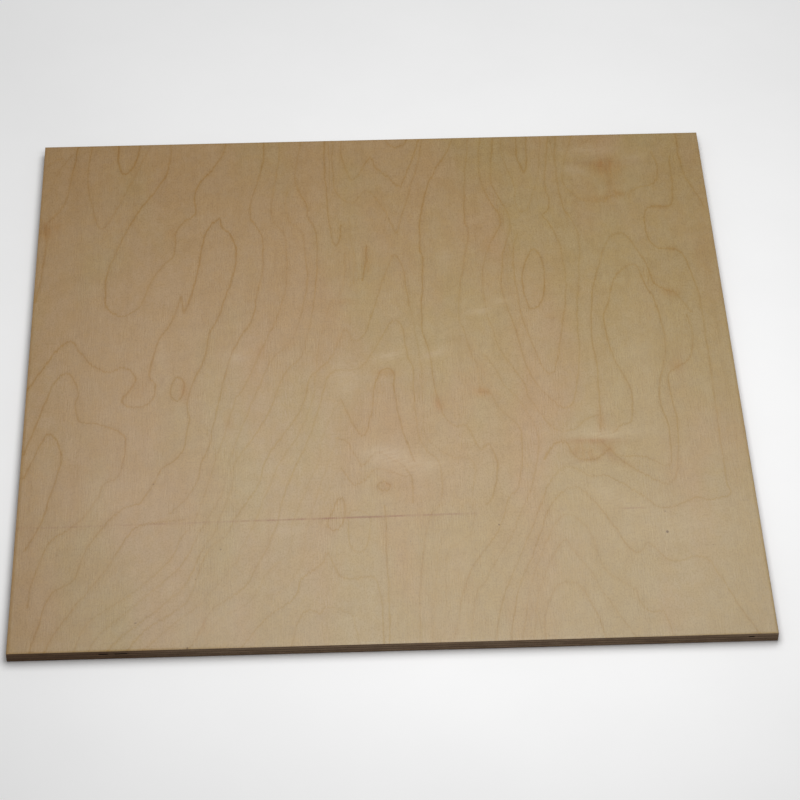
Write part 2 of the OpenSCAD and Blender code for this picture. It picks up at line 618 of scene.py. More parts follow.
@dataclass
class SheetMesh:
    """The closed mesh of the sheet, worked out from the CAD box.

    Attributes:
        low, high: The CAD box's corners.
        cells: Cells along each side of the face. The back has half as many.
        gap_depth: How deep the core gaps go.
        gap_ply: The ply with the gaps, counted from the face.
        waviness: How far the face may sink between its high places.
        calm_rim: How far in from the edges its waves are at their full height.
        saw_depth: How deep the saw's marks may be.
    """

    low: np.ndarray
    high: np.ndarray
    section: EdgeSection
    gaps: tuple[CoreGap, ...]
    cells: int = 232
    gap_depth: float = 12 * MM
    gap_ply: int = 3
    waviness: float = 0.25 * MM
    calm_rim: float = 0.05
    saw_depth: float = 0.10 * MM
    blocks: list[FaceBlock] = field(default_factory=list)
    points: list[np.ndarray] = field(default_factory=list)
    count: int = 0

    FACE_AREA = MapArea(0.004, 0.300, 0.696, 0.696)
    BACK_AREA = MapArea(0.708, 0.300, 0.288, 0.696)
    EDGE_AREAS = tuple(MapArea(0.004, 0.004 + 0.064 * side, 0.992, 0.058) for side in range(4))
    GAP_AREAS = tuple(MapArea(0.004 + 0.33 * slot, 0.264, 0.15, 0.03) for slot in range(3))
    GAP_BACKS = tuple(MapArea(0.164 + 0.33 * slot, 0.264, 0.10, 0.03) for slot in range(3))
    # The face's waves: height, radians a metre along x and along y, and where each starts.
    WAVES = ((1.0, 11.0, 2.1, 0.4), (0.8, 4.3, -9.7, 1.9), (0.5, 23.0, 5.0, 2.6))
    SEED_STEP = 97  # between the saw-mark seeds of two edges, more than the section has rows

    def add(self, places: np.ndarray) -> np.ndarray:
        """Adds points to the mesh.

        Args:
            places: Their places, one row each.

        Returns:
            Their numbers.
        """
        numbers = np.arange(self.count, self.count + len(places))
        self.points.append(places)
        self.count += len(places)
        return numbers

    def columns(self) -> tuple[np.ndarray, np.ndarray]:
        """Places the grid's columns and rows.

        They are evenly spaced between the eased arrises, and the column nearest to each side of a core gap
        moves onto it.

        Returns:
            The places along x and along y.
        """
        inset = self.section.ease
        x = np.linspace(self.low[0] + inset, self.high[0] - inset, self.cells + 1)
        y = np.linspace(self.low[1] + inset, self.high[1] - inset, self.cells + 1)
        for gap in self.gaps:
            for side in (gap.start, gap.start + gap.width):
                place = self.low[0] + side
                x[np.argmin(np.abs(x - place))] = place
        return x, y

    def sink(self, x: np.ndarray, y: np.ndarray) -> np.ndarray:
        """How far the face lies below its plane: three crossed waves, faded out near the edges.

        Args:
            x, y: Places in metres.

        Returns:
            Depths in metres, never below zero.
        """
        waves = sum(height * np.sin(kx * x + ky * y + start) for height, kx, ky, start in self.WAVES)
        highest = sum(height for height, *_ in self.WAVES)
        reach_x = np.minimum(x - self.low[0], self.high[0] - x)
        reach_y = np.minimum(y - self.low[1], self.high[1] - y)
        fade = np.clip(np.minimum(reach_x, reach_y) / self.calm_rim, 0, 1) ** 2
        return self.waviness * fade * (waves + highest) / (2 * highest)

    def saw_marks(self, along: np.ndarray, row: int, seed: int) -> np.ndarray:
        """Depth of the saw's marks on one row of an edge.

        They are seeded random shares of the greatest depth, each softened by its two neighbours.

        Args:
            along: Places along the edge, for their number.
            row: The row of the section.
            seed: The edge's own seed.

        Returns:
            Depths in metres.
        """
        rough = np.random.default_rng(self.SEED_STEP * seed + row).random(len(along) + 2)
        return self.saw_depth * (0.5 * rough[1:-1] + 0.25 * (rough[:-2] + rough[2:]))

    def ring_rows(self, x: np.ndarray, y: np.ndarray) -> np.ndarray:
        """Carries the edge's section round the sheet, front, right, back and left.

        Args:
            x, y: The grid's columns and rows.

        Returns:
            Vertex numbers, one row of 4 x cells for each row of the section.
        """
        flat = self.section.is_flat()
        rounds = []
        for row, (inset, height) in enumerate(self.section.rows()):
            left, right = self.low[0] + inset, self.high[0] - inset
            front, back = self.low[1] + inset, self.high[1] - inset
            marks = [
                self.saw_marks(x[1:-1], row, seed) if flat[row] else np.zeros(self.cells - 1)
                for seed in range(4)
            ]
            sides = (
                np.column_stack([x[1:-1], front + marks[0]]),
                np.column_stack([right - marks[1], y[1:-1]]),
                np.column_stack([x[-2:0:-1], back - marks[2]]),
                np.column_stack([left + marks[3], y[-2:0:-1]]),
            )
            corners = np.array([[left, front], [right, front], [right, back], [left, back]])
            loop = np.vstack([part for side in range(4) for part in (corners[side : side + 1], sides[side])])
            rounds.append(self.add(np.column_stack([loop, np.full(len(loop), height)])))
        return np.array(rounds)

    def grid_numbers(self, border: np.ndarray, inner: np.ndarray, cells: int) -> np.ndarray:
        """Lays vertex numbers out on a square grid whose rim is a closed round of vertices.

        Args:
            border: The rim, counted from the front left corner round by the right.
            inner: The numbers inside, as a square array by column and row.
            cells: Cells along each side.

        Returns:
            A square array of numbers, by column and row.
        """
        grid = np.zeros((cells + 1, cells + 1), int)
        grid[1:-1, 1:-1] = inner
        grid[:cells, 0] = border[:cells]
        grid[cells, :cells] = border[cells : 2 * cells]
        grid[cells:0:-1, cells] = border[2 * cells : 3 * cells]
        grid[0, cells:0:-1] = border[3 * cells :]
        return grid

    def share(self, corners: np.ndarray) -> tuple[np.ndarray, np.ndarray]:
        """Works corners out as shares of the sheet's width and length.

        Args:
            corners: Their vertex numbers.

        Returns:
            The shares across and along.
        """
        places = np.vstack(self.points)[corners]
        size = self.high - self.low
        return (places[..., 0] - self.low[0]) / size[0], (places[..., 1] - self.low[1]) / size[1]

    def build_face(self, rim: np.ndarray, x: np.ndarray, y: np.ndarray) -> np.ndarray:
        """Fills the face with a square grid that sinks by the waviness.

        Args:
            rim: The top round of the edge.
            x, y: The grid's columns and rows.

        Returns:
            The face's vertex numbers, by column and row.
        """
        gx, gy = np.meshgrid(x[1:-1], y[1:-1], indexing="ij")
        places = np.column_stack([gx.ravel(), gy.ravel(), (self.high[2] - self.sink(gx, gy)).ravel()])
        inner = self.add(places).reshape(gx.shape)
        grid = self.grid_numbers(rim, inner, self.cells)
        cells = [grid[:-1, :-1], grid[1:, :-1], grid[1:, 1:], grid[:-1, 1:]]
        quads = np.stack(cells, axis=-1).reshape(-1, 4)
        self.blocks.append(FaceBlock(quads, self.FACE_AREA.place(*self.share(quads)), Finish.FACE, True))
        return grid

    def build_back(self, rim: np.ndarray, x: np.ndarray, y: np.ndarray) -> None:
        """Fills the back with a grid of half as many cells.

        A cell at the rim also takes the edge's vertex halfway along its outer side, so that the mesh closes.

        Args:
            rim: The bottom round of the edge.
            x, y: The fine grid's columns and rows.
        """
        half = self.cells // 2
        gx, gy = np.meshgrid(x[2:-1:2], y[2:-1:2], indexing="ij")
        places = np.column_stack([gx.ravel(), gy.ravel(), np.full(gx.size, self.low[2])])
        grid = self.grid_numbers(rim[::2], self.add(places).reshape(gx.shape), half)
        between = np.full((4, half, half), -1)
        middles = rim[1::2].reshape(4, half)
        between[0, :, 0] = middles[0]
        between[1, -1, :] = middles[1]
        between[2, ::-1, -1] = middles[2]
        between[3, 0, ::-1] = middles[3]
        loops = np.stack(
            [
                grid[:-1, :-1], between[0], grid[1:, :-1], between[1],
                grid[1:, 1:], between[2], grid[:-1, 1:], between[3],
            ],
            axis=-1,
        ).reshape(-1, 8)
        sizes = (loops >= 0).sum(axis=1)
        for size in np.unique(sizes):
            chosen = loops[sizes == size]
            cells = chosen[chosen >= 0].reshape(-1, size)[:, ::-1]
            self.blocks.append(FaceBlock(cells, self.BACK_AREA.place(*self.share(cells)), Finish.BACK, True))

    def build_edges(self, rounds: np.ndarray, x: np.ndarray) -> None:
        """Joins the section's rounds into the four edges, leaving the mouths of the core gaps open.

        Args:
            rounds: The vertex numbers of every round, top to bottom.
            x: The grid's columns.
        """
        rows, places = self.section.rows(), np.vstack(self.points)
        drop = np.concatenate([[0.0], np.cumsum(np.hypot(*np.diff(rows, axis=0).T))])
        drop = 1 - drop / drop[-1]
        run = 4 * self.cells
        k = np.arange(run)
        row, column = np.meshgrid(np.arange(len(rows) - 1), k, indexing="ij")
        following = (column + 1) % run
        below = row + 1
        upper = rounds[row, column], rounds[row, following]
        lower = rounds[below, column], rounds[below, following]
        quads = np.stack([upper[0], lower[0], lower[1], upper[1]], axis=-1)
        keep = np.ones(row.shape, bool)
        top_row = self.mouth_row()
        for slot, gap in enumerate(self.gaps):
            first = int(np.argmin(np.abs(x - (self.low[0] + gap.start))))
            last = int(np.argmin(np.abs(x - (self.low[0] + gap.start + gap.width))))
            keep[top_row : top_row + 2, first:last] = False
            self.build_gap(rounds, first, last, slot)
        for side, area in enumerate(self.EDGE_AREAS):
            mine = keep & (column // self.cells == side)
            corners = quads[mine]
            axis = side % 2
            along = (places[corners][..., axis] - self.low[axis]) / (self.high - self.low)[axis]
            levels = np.stack([row, below, below, row], axis=-1)[mine]
            self.blocks.append(FaceBlock(corners, area.place(along, drop[levels]), Finish.EDGE))

    def mouth_row(self) -> int:
        """Finds the section's row at the top of the core gaps, just under the glue line above their ply.

        Returns:
            The row's number.
        """
        rows = self.section.rows()
        level = self.section.thickness - (self.gap_ply - 1) * self.section.ply - self.section.glue_half
        return int(np.argmin(np.abs(rows[:, 1] - level)))

    def build_gap(self, rounds: np.ndarray, first: int, last: int, slot: int) -> None:
        """Lines one core gap: a tube from its mouth straight in, and a flat back.

        Args:
            rounds: The vertex numbers of the edge's rounds.
            first, last: The columns at its sides.
            slot: Which of the gaps it is, for its place on the flat map.
        """
        top = self.mouth_row()
        mouth = np.concatenate(
            [
                rounds[top + 2, first:last],
                rounds[top + 1 : top + 3, last][::-1],
                rounds[top, last:first:-1],
                rounds[top : top + 2, first],
            ]
        )
        places = np.vstack(self.points)[mouth]
        deep = places.copy()
        deep[:, 1] = self.low[1] + self.gap_depth
        far = self.add(deep)
        step = np.arange(len(mouth))
        after = (step + 1) % len(mouth)
        tube = np.stack([mouth, mouth[after], far[after], far], axis=-1)
        across = np.stack([step, step + 1, step + 1, step], axis=-1) / len(mouth)
        depth = np.broadcast_to(np.array([0.0, 0.0, 1.0, 1.0]), across.shape)
        self.blocks.append(FaceBlock(tube, self.GAP_AREAS[slot].place(across, depth), Finish.EDGE))
        span, low = np.ptp(deep, axis=0), deep.min(axis=0)
        flat = self.GAP_BACKS[slot].place((deep[:, 0] - low[0]) / span[0], (deep[:, 2] - low[2]) / span[2])
        self.blocks.append(FaceBlock(far[None, :], flat[None, :, :], Finish.EDGE))

    def build(self) -> tuple[bpy.types.Mesh, np.ndarray]:
        """Builds the closed mesh.

        Returns:
            The mesh and the face's vertex numbers, by column and row.
        """
        x, y = self.columns()
        rounds = self.ring_rows(x, y)
        face = self.build_face(rounds[0], x, y)
        self.build_edges(rounds, x)
        self.build_back(rounds[-1], x, y)
        mesh = bpy.data.meshes.new("birch_plywood_sheet")
        used = np.unique(np.concatenate([block.corners.ravel() for block in self.blocks]))
        faces = []
        for block in self.blocks:
            faces.extend(np.searchsorted(used, block.corners).tolist())
        mesh.from_pydata(np.vstack(self.points)[used].tolist(), [], faces)
        return mesh, np.searchsorted(used, face)

    def paint(self, mesh: bpy.types.Mesh) -> None:
        """Gives every face its material slot and shading, and writes the flat map.

        Args:
            mesh: The sheet's mesh, with its materials in place.
        """
        counts = [len(block.corners) for block in self.blocks]
        finishes = np.repeat([int(block.finish) for block in self.blocks], counts)
        smooth = np.repeat([block.smooth for block in self.blocks], counts)
        mesh.polygons.foreach_set("material_index", finishes.astype(np.int32))
        mesh.polygons.foreach_set("use_smooth", smooth)
        spread = np.concatenate([block.spread.reshape(-1) for block in self.blocks])
        mesh.uv_layers.new(name="OFBake").data.foreach_set("uv", spread.astype(np.float32))
        mesh.update()


# ---------------------------------------------------------------- finishes


class Bench:
    """A small bench where one material's nodes are set out and joined."""

    SHARE, UNDER, OVER, MIXED = 0, 6, 7, 2  # the sockets of a Mix node that mixes colours

    def __init__(self, name: str) -> None:
        """Starts a material with an empty tree and a shader.

        Args:
            name: The material's name.
        """
        self.material = bpy.data.materials.new(name)
        self.material.use_nodes = True
        self.tree = self.material.node_tree
        self.tree.nodes.clear()
        self.shader = self.tree.nodes.new("ShaderNodeBsdfPrincipled")
        output = self.tree.nodes.new("ShaderNodeOutputMaterial")
        self.tree.links.new(self.shader.outputs["BSDF"], output.inputs["Surface"])

    def node(self, kind: str, **settings: object) -> bpy.types.Node:
        """Adds a node and sets its own settings.

        Args:
            kind: The node's type, without its ShaderNode prefix.
            settings: Its settings by name.

        Returns:
            The node.
        """
        node = self.tree.nodes.new("ShaderNode" + kind)
        for name, value in settings.items():
            setattr(node, name, value)
        return node

    def feed(self, socket: Socket, value: object) -> None:
        """Joins a socket to another, or sets its number, vector or colour.

        Args:
            socket: The socket to feed.
            value: The other socket, or what this one is set to.
        """
        if isinstance(value, bpy.types.NodeSocket):
            self.tree.links.new(value, socket)
        elif isinstance(value, tuple) and socket.type == "RGBA" and len(value) == 3:
            socket.default_value = (*value, 1.0)
        else:
            socket.default_value = value

    def math(self, operation: str, *values: object) -> Socket:
        """The result of a Math node.

        Args:
            operation: Its operation.
            values: Its inputs, sockets or numbers.

        Returns:
            The result.
        """
        node = self.node("Math", operation=operation)
        for socket, value in zip(node.inputs, values):
            self.feed(socket, value)
        return node.outputs[0]

    def times(self, *values: object) -> Socket:
        """The product of the values, taken in order."""
        return reduce(partial(self.math, "MULTIPLY"), values)

    def plus(self, *values: object) -> Socket:
        """The sum of the values, taken in order."""
        return reduce(partial(self.math, "ADD"), values)

    def greatest(self, *values: object) -> Socket:
        """The greatest of the values."""
        return reduce(partial(self.math, "MAXIMUM"), values)

    def minus(self, value: object, less: object) -> Socket:
        """One value less another."""
        return self.math("SUBTRACT", value, less)

    def scaled(self, value: Socket, factor: float, added: object) -> Socket:
        """A value times a factor, and something added to it."""
        return self.math("MULTIPLY_ADD", value, factor, added)

    def unsigned(self, value: Socket) -> Socket:
        """A value without its sign."""
        return self.math("ABSOLUTE", value)

    def step(self, value: Socket, start: float, end: float, low: float = 0.0, high: float = 1.0) -> Socket:
        """A smooth step: low where the value is under start, high where it is over end.

        Args:
            value: What is stepped.
            start, end: Where the step starts and ends. Start may be the greater.
            low, high: The results before and after.

        Returns:
            The stepped value.
        """
        if start > end:
            start, end, low, high = end, start, high, low
        node = self.node("MapRange", interpolation_type="SMOOTHSTEP")
        for socket, number in zip(node.inputs, (value, start, end, low, high)):
            self.feed(socket, number)
        return node.outputs[0]

    def mapped(self, place: Socket, **settings: Triple) -> Socket:
        """Turns, stretches or shifts coordinates in a Mapping node.

        Args:
            place: The coordinates.
            settings: The node's inputs by name.

        Returns:
            The changed coordinates.
        """
        node = self.node("Mapping")
        self.feed(node.inputs["Vector"], place)
        for name, value in settings.items():
            node.inputs[name].default_value = value
        return node.outputs[0]

    def lay(self, under: object, over: object, share: object, how: Blend = Blend.OVER) -> Socket:
        """Lays one colour over another.

        Args:
            under, over: The colours.
            share: How much of the upper one shows.
            how: How they are mixed.

        Returns:
            The mixed colour.
        """
        node = self.node("Mix", data_type="RGBA", blend_type=how.value, clamp_factor=True)
        for socket, value in ((self.SHARE, share), (self.UNDER, under), (self.OVER, over)):
            self.feed(node.inputs[socket], value)
        return node.outputs[self.MIXED]

    def pattern(self, place: Socket, grain: Grain) -> Socket:
        """Makes the noise of a pattern, stretched so that it runs long one way.

        Args:
            place: The coordinates.
            grain: The pattern.

        Returns:
            The noise, about 0.3 to 0.7.
        """
        if grain.turn:
            place = self.mapped(place, Rotation=(0.0, 0.0, math.radians(-grain.turn)))
        node = self.node("TexNoise", noise_dimensions="3D")
        self.feed(node.inputs["Vector"], self.mapped(place, Scale=grain.bumps, Location=grain.shift))
        for name, value in (("Scale", 1.0), ("Detail", grain.detail), ("Roughness", grain.rough)):
            node.inputs[name].default_value = value
        return node.outputs[0]

    def cut(self, value: Socket, grain: Grain) -> Socket:
        """A value put through a pattern's step."""
        return self.step(value, grain.start, grain.end, grain.low, grain.high)

    def grain(self, place: Socket, grain: Grain) -> Socket:
        """A pattern put through its own step."""
        return self.cut(self.pattern(place, grain), grain)

    def stained(self, place: Socket, colour: Socket, grain: Grain) -> tuple[Socket, Socket]:
        """Lays a pattern over a colour as a stain.

        Args:
            place: The coordinates.
            colour: The colour under it.
            grain: The pattern.

        Returns:
            The stained colour, and the pattern's own noise.
        """
        noise = self.pattern(place, grain)
        return self.lay(colour, grain.stain, self.cut(noise, grain), Blend.STAIN), noise

    def object_place(self) -> tuple[Socket, Socket, Socket, Socket]:
        """Takes up the Object coordinates.

        Returns:
            The coordinates whole, and as x, y and z.
        """
        place = self.node("TexCoord").outputs["Object"]
        parts = self.node("SeparateXYZ")
        self.feed(parts.inputs[0], place)
        return place, *parts.outputs

    def attribute(self, name: str) -> tuple[Socket, Socket, Socket]:
        """Takes up an attribute of the sheet.

        Args:
            name: Its name.

        Returns:
            Its three numbers.
        """
        parts = self.node("SeparateXYZ")
        self.feed(parts.inputs[0], self.node("Attribute", attribute_name=name).outputs["Vector"])
        return tuple(parts.outputs)

    def oval(self, x: Socket, y: Socket, patch: Patch, corner: Point) -> Socket:
        """How far a place is from an oval's middle, in its own half sizes.

        Args:
            x, y: The place in metres.
            patch: The oval, in millimetres from the sheet's corner.
            corner: The sheet's front left corner in metres.

        Returns:
            0 in the middle, 1 on the oval.
        """
        u = self.math("DIVIDE", self.minus(x, corner[0] + patch.x * MM), patch.half_w * MM)
        v = self.math("DIVIDE", self.minus(y, corner[1] + patch.y * MM), patch.half_l * MM)
        return self.math("SQRT", self.plus(self.times(u, u), self.times(v, v)))

    def surface(self, colour: Socket, roughness: object, mirror: float = 0.5) -> None:
        """Gives the shader its surface.

        Args:
            colour: Its colour.
            roughness: How rough it is, 0 to 1.
            mirror: How strongly it mirrors, 0.5 for most materials.
        """
        self.feed(self.shader.inputs["Base Color"], colour)
        self.feed(self.shader.inputs["Roughness"], roughness)
        self.feed(self.shader.inputs["Specular IOR Level"], mirror)

    def relief(self, height: Socket, depth: float, strength: float) -> None:
        """Gives the shader a bump.

        Args:
            height: The relief, 0 to 1.
            depth: Its depth in metres.
            strength: How much of it acts.
        """
        bump = self.node("Bump")
        self.feed(bump.inputs["Height"], height)
        bump.inputs["Distance"].default_value = depth
        bump.inputs["Strength"].default_value = strength
        self.feed(self.shader.inputs["Normal"], bump.outputs[0])


@dataclass(frozen=True)
class FaceVeneer:
    """The good face: rotary-cut birch, satin from sanding, with its ring figure, stains and marks.

    Attributes:
        grey_tan, warm_tan: The ground's two tones.
        warmer_back, greyer_right: How much the tone turns in a metre along y and along x, part wood tone and
            part painted light.
        broad: The noise that the turn is added to before its step.
        grains: Bands, ripples, streaks, mottle, clouds, fibres and flecks, laid in that order.
        ring_share, shade_share: How strong the ring lines and their soft shades are.
        push_across, push_along: How far noise pushes the ring lines about, in millimetres.
        across, along: That noise.
        ring_steps: The steps that make up a line, as start, end, low and high in millimetres and shares.
        ring_end: Where a line fades past its end, in millimetres.
        shade_reach: How far from a line its shade goes, in millimetres.
        fade: What thins the lines out in places.
        breakup, highlight_ripple: What breaks the stains up, and what ripples the painted highlights.
        ochre_share, orange_share, highlight_share, dark_share: How strong each sort of stain is, and how
        strong the painted highlights are.
        line_y: The cross-grain line, from the front edge.
        line_rise: Its rise from the left edge to the right, for each metre.
        line_wobble, line_core, line_rim: How far it strays, and where it is full and gone.
        line_stops: How strong it is along its run, as places in metres and levels.
        dashes, wobble: What breaks the line up, and what makes it stray.
        dull, fibre: Broad noise and fine fibres in the sheen. The fibres are also the relief.
        gloss_share, gloss_base, fibre_gloss: How the roughness changes with those two.
        mirror: How strongly the surface mirrors.
        relief_depth, relief_share: How deep the relief is, and how much of it acts.
    """

    grey_tan: Colour = (0.376, 0.2712, 0.1222)
    warm_tan: Colour = (0.389, 0.2540, 0.1222)
    warmer_back: float = 0.14
    greyer_right: float = 0.26
    broad: Grain = Grain((5.5, 2.2, 1), 0.32, 0.68, detail=3, rough=0.55)
    grains: tuple[Grain, ...] = (
        Grain((40, 2.6, 1), 0.44, 0.70, 0, 0.42, 3, 0.6, (3.1, 0, 0), stain=(0.93, 0.90, 0.84)),
        Grain((6, 38, 1), 0.42, 0.66, 0, 0.36, 2, 0.5, (0, 0, 1.5), turn=17, stain=(0.93, 0.92, 0.90)),
        Grain((170, 11, 1), 0.42, 0.70, 0, 0.30, 3, 0.66, (0, 5.2, 0), stain=(0.87, 0.82, 0.74)),
        Grain((26, 17, 1), 0.38, 0.62, 0, 0.75, 3, 0.7, (0, 0, 11), stain=(0.985, 0.942, 0.80)),
        Grain((75, 46, 1), 0.40, 0.62, 0, 0.55, 3, 0.65, (0, 0, 13), stain=(0.92, 0.91, 0.89)),
        Grain((640, 60, 1), 0.38, 0.64, 0, 0.36, 4, 0.75, (7.7, 0, 0), stain=(0.80, 0.76, 0.70)),
        Grain((380, 230, 1), 0.44, 0.66, 0, 0.72, 3, 0.7, (0, 0, 4), stain=(0.78, 0.735, 0.65)),
    )
    ring_stain: Colour = (0.875, 0.772, 0.46)
    ring_share: float = 0.93
    shade_share: float = 0.18
    push_across: float = 7.0
    push_along: float = 16.0
    across: Grain = Grain((95, 26, 1))
    along: Grain = Grain((330, 9, 1), rough=0.6, shift=(0, 2, 0))
    ring_steps: tuple[tuple[float, ...], ...] = ((0.3, 3.6, 0.50, 0.0), (0.0, 1.8, 0.72, 0.0))
    ring_end: tuple[float, float] = (5.0, 8.0)
    shade_reach: float = 10.0
    fade: Grain = Grain((9, 5.5, 1), 0.36, 0.60, 0.55, 1.0, shift=(0, 0, 9))
    orange_stain: Colour = (1.0, 0.75, 0.43)
    ochre_stain: Colour = (0.93, 0.78, 0.50)
    dark_stain: Colour = (0.62, 0.44, 0.30)
    # The colour of the painted highlights.
    pale: Colour = (0.50, 0.385, 0.25)
    ochre_share: float = 0.95
    orange_share: float = 0.80
    highlight_share: float = 0.38
    dark_share: float = 0.62
    breakup: Grain = Grain((120, 20, 1), 0.30, 0.62, 0.35, 1.0, 3, 0.6, (0, 0, 2))
    highlight_ripple: Grain = Grain((36, 220, 1), 0.34, 0.64, 0.55, 1.0, shift=(0, 0, 6), turn=16)
    scorch: Colour = (0.74, 0.54, 0.48)
    line_y: float = 0.2645
    line_rise: float = 0.0105
    line_wobble: float = 3.2 * MM
    line_core: float = 0.8 * MM
    line_rim: float = 3.2 * MM
    line_stops: tuple[Point, ...] = (
        (0.02, 0.34), (0.21, 0.32), (0.23, 0.55), (0.26, 0.24), (0.37, 0.50), (0.45, 1.0), (0.61, 1.0),
        (0.66, 0.70), (0.73, 0.65), (0.76, 0.12), (0.99, 0.08), (1.005, 0.50), (1.03, 0.40),
        (1.045, 0.06), (1.20, 0.10),
    )
    wobble: Grain = Grain((24, 1, 1), detail=3, rough=0.6, shift=(0, 0, 8))
    dashes: Grain = Grain((34, 1, 1), 0.38, 0.58, 0.45, 1.0, rough=0.6, shift=(0, 0, 3))
    pinhole: Colour = (0.38, 0.29, 0.22)
    speck_core: float = 0.4  # a speck is full inside this share of its half sizes
    speck_rim: float = 1.5  # and gone outside this one
    gloss_share: float = 0.12
    gloss_base: float = 0.18
    fibre_gloss: float = 0.06
    mirror: float = 0.46
    fibre: Grain = Grain((900, 24, 900), detail=3, rough=0.6)
    dull: Grain = Grain((7, 2.4, 7))
    ring_dip: float = -0.35  # how far the ring lines sink, beside the fibres' height of 1
    relief_depth: float = 0.06 * MM
    relief_share: float = 0.6

    RAMP_SHARE = 0.8  # of a metre's place on a ramp, which ends at 1

    def make(self, corner: Point) -> bpy.types.Material:
        """Makes the material.

        Args:
            corner: The sheet's front left corner in metres.

        Returns:
            The material.
        """
        bench = Bench("birch_face_veneer")
        place, x, y, _ = bench.object_place()
        colour = self.ground(bench, place, x, y)
        colour, lines = self.rings(bench, place, colour)
        colour = self.stains(bench, place, colour)
        colour = self.cross_line(bench, place, x, y, corner, colour)
        colour = self.specks(bench, x, y, corner, colour)
        fibre = bench.pattern(place, self.fibre)
        gloss = bench.scaled(bench.pattern(place, self.dull), self.gloss_share, self.gloss_base)
        bench.surface(colour, bench.scaled(fibre, self.fibre_gloss, gloss), self.mirror)
        bench.relief(bench.scaled(lines, self.ring_dip, fibre), self.relief_depth, self.relief_share)
        return bench.material

    def ground(self, bench: Bench, place: Socket, x: Socket, y: Socket) -> Socket:
        """The wood between the rings: broad tones with the grains laid over them.

        The tone turns slowly from warm at the far left to grey at the near right, part wood tone and part
        painted light.

        Args:
            bench: The material's bench.
            place: Object coordinates.
            x, y: The place in metres.

        Returns:
            The colour.
        """
        # Part painted light: the warm far left and the grey near right follow how the light falls on the
        # face.
        turn = bench.minus(bench.times(y, self.warmer_back), bench.times(x, self.greyer_right))
        tone = bench.plus(turn, bench.pattern(place, self.broad))
        colour = bench.lay(self.grey_tan, self.warm_tan, bench.cut(tone, self.broad))
        for grain in self.grains:
            colour, _ = bench.stained(place, colour, grain)
        return colour

    def rings(self, bench: Bench, place: Socket, colour: Socket) -> tuple[Socket, Socket]:
        """Draws the growth-ring lines.

        The signed offset from the nearest line is pushed about by noise that is short across the grain and
        long along it, as fibres break a line up. Two narrow steps of what is left are the line, and a wide
        one is its soft shade.

        Args:
            bench: The material's bench.
            place: Object coordinates.
            colour: The wood's colour.

        Returns:
            The colour with the lines, and the lines alone, 0 to 1.
        """
        across = bench.minus(bench.pattern(place, self.across), Grain.MIDDLE)
        along = bench.minus(bench.pattern(place, self.along), Grain.MIDDLE)
        cores, shades = [], []
        for layer in range(Figure.LAYERS):
            offset, normal_x, normal_y = bench.attribute(f"ring_offset_{layer}")
            distance, strength, _ = bench.attribute(f"ring_look_{layer}")
            push_x = bench.times(across, self.push_across, normal_x)
            push_y = bench.times(along, self.push_along, normal_y)
            pushed = bench.unsigned(bench.plus(offset, bench.plus(push_x, push_y)))
            near = bench.times(bench.step(distance, *self.ring_end, 1, 0), strength)
            profile = bench.plus(*(bench.step(pushed, *step) for step in self.ring_steps))
            cores.append(bench.times(profile, near))
            shades.append(bench.times(bench.step(distance, 0.0, self.shade_reach, 1, 0), strength))
        core = bench.times(bench.greatest(*cores), bench.grain(place, self.fade))
        shade = bench.times(bench.greatest(*shades), self.shade_share)
        for share in (shade, bench.times(core, self.ring_share)):
            colour = bench.lay(colour, self.ring_stain, share, Blend.STAIN)
        return colour, core

    def stains(self, bench: Bench, place: Socket, colour: Socket) -> Socket:
        """Lays the soft stains and the painted highlights over the wood, broken up along the grain.

        Args:
            bench: The material's bench.
            place: Object coordinates.
            colour: The colour under them.

        Returns:
            The colour with the stains and the painted highlights.
        """
        # The stain attribute's middle number is the painted highlights, laid over the wood in the pale
        # colour.
        orange, pale, dark = bench.attribute("stain")
        ochre, *_ = bench.attribute("ochre")
        breakup = bench.grain(place, self.breakup)
        highlight_ripple = bench.grain(place, self.highlight_ripple)
        for amount, thinned, share, stain, how in (
            (ochre, breakup, self.ochre_share, self.ochre_stain, Blend.STAIN),
            (orange, breakup, self.orange_share, self.orange_stain, Blend.STAIN),
            (pale, highlight_ripple, self.highlight_share, self.pale, Blend.OVER),
            (dark, breakup, self.dark_share, self.dark_stain, Blend.STAIN),
        ):
            colour = bench.lay(colour, stain, bench.times(amount, thinned, share), how)
        return colour

    def cross_line(self, bench: Bench, place: Socket, x: Socket, y: Socket, corner: Point,
                   colour: Socket) -> Socket:
        """Draws the reddish line across the grain: strong in the middle, faint dashes on either side.

        Args:
            bench: The material's bench.
            place: Object coordinates.
            x, y: The place in metres.
            corner: The sheet's front left corner in metres.
            colour: The colour under it.

        Returns:
            The colour with the line.
        """
        across = bench.minus(x, corner[0])
        up = bench.minus(bench.minus(y, corner[1] + self.line_y), bench.times(across, self.line_rise))
        wobble = bench.minus(bench.pattern(place, self.wobble), Grain.MIDDLE)
        off = bench.unsigned(bench.scaled(wobble, self.line_wobble, up))
        line = bench.step(off, self.line_core, self.line_rim, 1, 0)
        ends = bench.node("ValToRGB")
        bench.feed(ends.inputs[0], bench.times(across, self.RAMP_SHARE))
        self.set_ramp(ends)
        share = bench.times(line, bench.grain(place, self.dashes), ends.outputs[0])
        return bench.lay(colour, self.scorch, share, Blend.STAIN)

    def set_ramp(self, node: bpy.types.Node) -> None:
        """Sets a ramp to greys, a stop for each place and level along the cross-grain line.

        Args:
            node: The ramp's node.
        """
        elements = node.color_ramp.elements
        for place, _ in self.line_stops[1:-1]:
            elements.new(place)
        for element, (place, level) in zip(elements, self.line_stops):
            element.position = place * self.RAMP_SHARE
            element.color = (level, level, level, 1)

